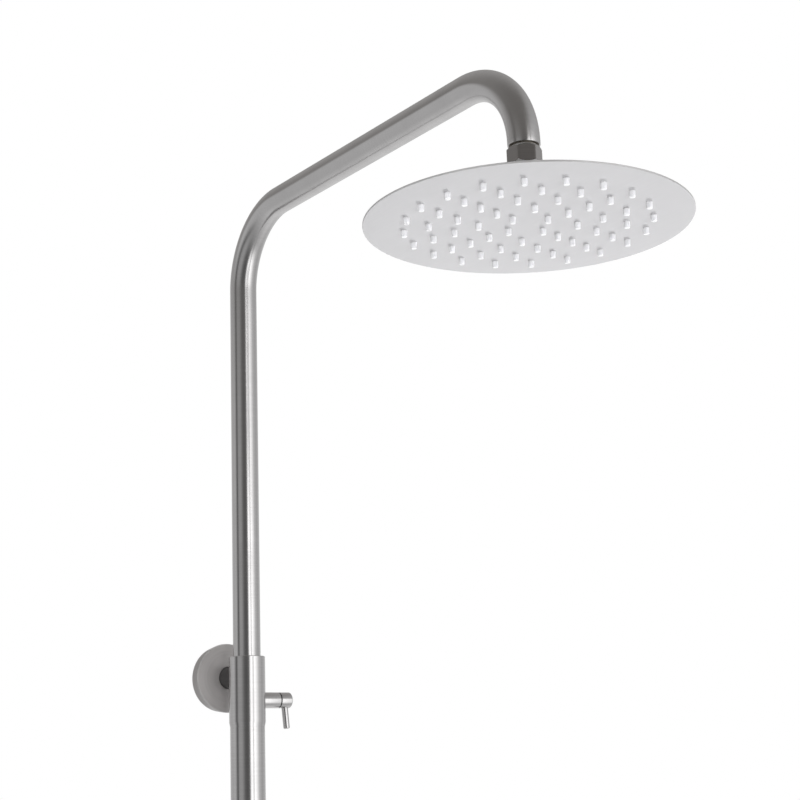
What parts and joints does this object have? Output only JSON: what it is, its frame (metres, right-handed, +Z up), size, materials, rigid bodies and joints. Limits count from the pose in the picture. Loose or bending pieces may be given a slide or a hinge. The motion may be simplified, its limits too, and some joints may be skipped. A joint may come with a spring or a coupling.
{
  "type": "shower column",
  "caption": "Wall-hung shower column: bent upper tube with a round overhead head on a ball joint, a diverter body with a side lever, and a lower tube with a hose outlet at its foot.",
  "frame": {"origin": "centre of the upper wall plate's back face, on the wall", "axes": "+Z up along the column, +Y into the wall, +X to the side with the diverter's lever"},
  "size_m": [0.25, 0.605, 1.2092],
  "materials": {
    "tube_steel": "satin, fine grain along the tube",
    "fitting_steel": "fine turned finish",
    "flange_steel": "satin, turned in rings",
    "head_steel": "pale matte satin sheet",
    "screen_steel": "plain drawn steel",
    "screw_steel": "plain zinc-grey steel",
    "brass": "plain turned brass",
    "silicone": "white translucent silicone",
    "seal_rubber": "black rubber",
    "sleeve_plastic": "dark satin plastic",
    "seat_plastic": "plain pale plastic",
    "valve_plastic": "plain moulded plastic",
    "ceramic": "lapped ceramic"
  },
  "bodies": {
    "column": {"upper_tube": "tube_steel", "arm_nipple": "brass", "filter_screen": "screen_steel", "connector_washer": "seal_rubber", "flow_restrictor": "valve_plastic", "ball_connector": "fitting_steel", "riser_o_rings": "seal_rubber", "riser_grub_screw": "screw_steel", "diverter_body": "tube_steel", "handle_bonnet": "fitting_steel", "spindle_o_ring": "seal_rubber", "cartridge_housing": "valve_plastic", "fixed_disc": "ceramic", "lower_tube": "tube_steel", "spigot_o_rings": "seal_rubber", "tube_grub_screws": "screw_steel", "inner_tube": "screen_steel", "inner_tube_o_rings": "seal_rubber", "foot_fitting": "tube_steel", "inlet_nipple": "fitting_steel", "inlet_o_ring": "seal_rubber", "outlet_nipple": "fitting_steel", "outlet_washer": "seal_rubber", "check_valve": "valve_plastic", "upper_wall_plate": "screw_steel", "upper_wall_flange": "flange_steel", "upper_spacer_sleeve": "sleeve_plastic", "upper_wall_stud": "screw_steel", "upper_flange_ring": "seal_rubber", "lower_wall_plate": "screw_steel", "lower_wall_flange": "flange_steel", "lower_spacer_sleeve": "sleeve_plastic", "lower_wall_stud": "screw_steel", "lower_flange_ring": "seal_rubber"},
    "handle": {"spindle": "brass", "moving_disc": "ceramic", "handle_cap": "fitting_steel", "lever_pin": "fitting_steel", "handle_grub_screw": "screw_steel"},
    "ball_seat": {"ball_seat_ring": "seat_plastic"},
    "head": {"socket_cap": "fitting_steel", "socket_housing": "fitting_steel", "ball_seal": "seal_rubber", "back_cover": "head_steel", "clamp_plate": "seat_plastic", "nozzle_mat": "silicone", "face_plate": "head_steel"}
  },
  "joints": [
    {"name": "handle_turn", "type": "hinge", "parent": "column", "child": "handle", "pos_m": [0.038, -0.05, -0.0225], "axis": [1, 0, 0], "range_deg": [-90, 90]},
    {"name": "head_swivel", "type": "hinge", "parent": "column", "child": "ball_seat", "pos_m": [0, -0.48, 0.338], "axis": [0, 0, 1], "continuous": true},
    {"name": "head_tilt", "type": "hinge", "parent": "ball_seat", "child": "head", "pos_m": [0, -0.48, 0.338], "axis": [1, 0, 0], "range_deg": [-15, 15]}
  ]
}
